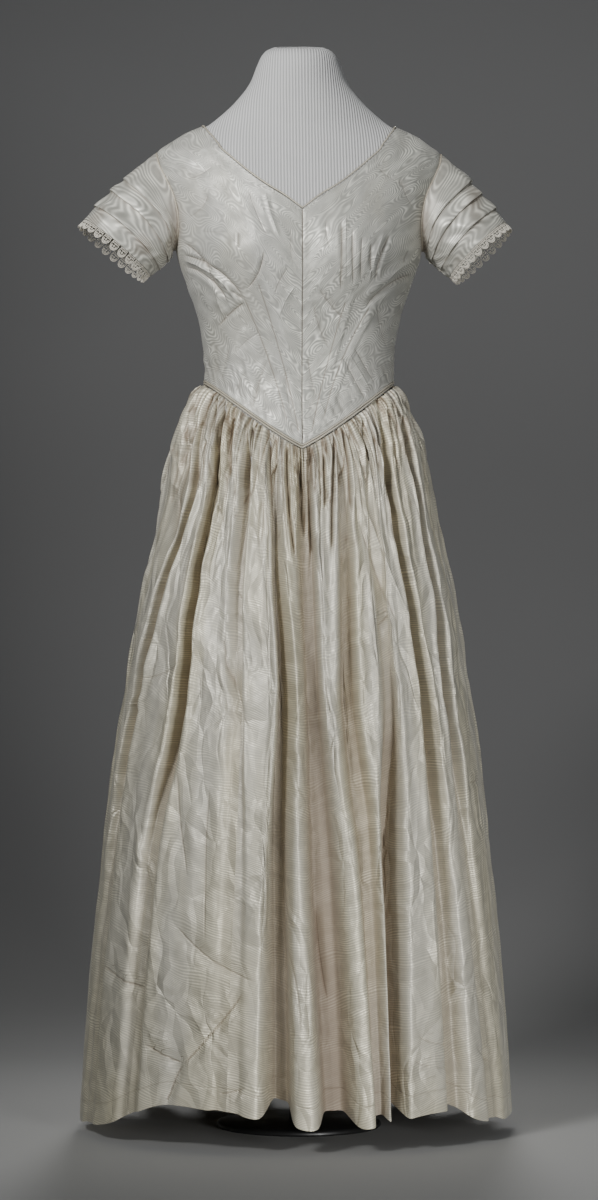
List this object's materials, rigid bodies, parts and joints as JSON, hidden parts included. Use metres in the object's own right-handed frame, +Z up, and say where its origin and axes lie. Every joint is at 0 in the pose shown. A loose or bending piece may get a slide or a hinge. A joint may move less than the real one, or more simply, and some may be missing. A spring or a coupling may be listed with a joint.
{
  "type": "short-sleeved silk dress on a limbless dress form",
  "caption": "Floor-length silk dress with a pointed waist, gathered skirt and lace-edged short sleeves, standing on a limbless dress form with a round base.",
  "frame": {"origin": "centre of the stand base's underside, on the floor", "axes": "+Z up, the dress faces -Y, +X towards the wearer's left"},
  "size_m": [0.5645, 0.5877, 1.3858],
  "materials": {
    "silk": "cream watered silk with a soft sheen",
    "lace": "ivory cotton bobbin lace",
    "form_cover": "white ribbed jersey",
    "stand": "black enamelled steel"
  },
  "bodies": {
    "root": {"bodice_front_left": "silk", "bodice_front_right": "silk", "bodice_back_left": "silk", "bodice_back_right": "silk", "neck_piping": "silk", "waist_piping_upper": "silk", "waist_piping_lower": "silk", "sleeve_left": "silk", "sleeve_right": "silk", "lace_left_front": "lace", "lace_left_back": "lace", "lace_right_front": "lace", "lace_right_back": "lace", "skirt_front": "silk", "skirt_side_front_left": "silk", "skirt_side_front_right": "silk", "skirt_side_back_left": "silk", "skirt_side_back_right": "silk", "skirt_back_left": "silk", "skirt_back_right": "silk", "dress_form": "form_cover", "stand_pole": "stand", "stand_base": "stand"}
  },
  "joints": []
}
